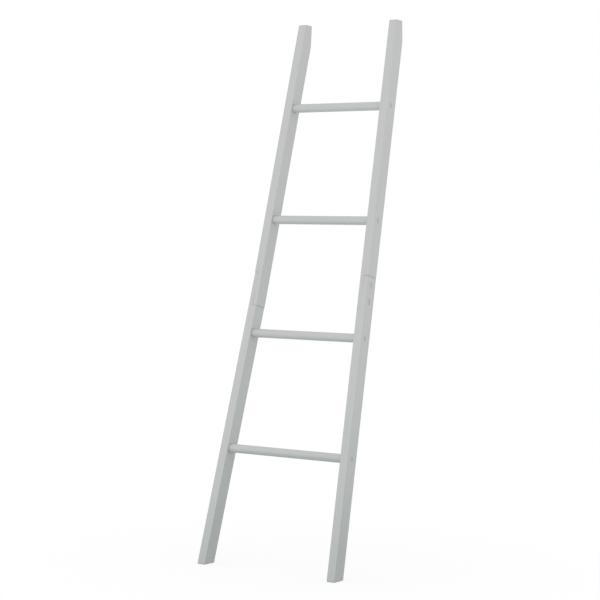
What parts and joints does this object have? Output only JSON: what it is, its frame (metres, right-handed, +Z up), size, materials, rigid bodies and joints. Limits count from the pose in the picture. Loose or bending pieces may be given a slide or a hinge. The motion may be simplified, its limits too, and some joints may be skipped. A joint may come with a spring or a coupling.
{
  "type": "leaning ladder rack",
  "caption": "Leaning wooden rung ladder, painted grey: splayed rails in sections bolted at a half lap carry round rungs, with level feet and bevelled tops that rest on a wall.",
  "frame": {"origin": "on the floor, midway between the rails and midway between the front of the feet and the wall", "axes": "+X to the right seen from the front, +Y back toward the wall, +Z up"},
  "size_m": [0.4602, 0.3984, 1.5709],
  "materials": {
    "painted_wood": "satin grey paint",
    "plated_steel": "zinc plated, heads painted grey",
    "brass": "turned"
  },
  "bodies": {
    "root": {"left_lower_rail": "painted_wood", "left_upper_rail": "painted_wood", "right_lower_rail": "painted_wood", "right_upper_rail": "painted_wood", "rung_1": "painted_wood", "rung_2": "painted_wood", "rung_3": "painted_wood", "rung_4": "painted_wood", "rung_screws_1": "plated_steel", "rung_screws_2": "plated_steel", "rung_screws_3": "plated_steel", "rung_screws_4": "plated_steel", "lower_lap_bolts": "plated_steel", "upper_lap_bolts": "plated_steel", "lower_lap_inserts": "brass", "upper_lap_inserts": "brass"}
  },
  "joints": []
}
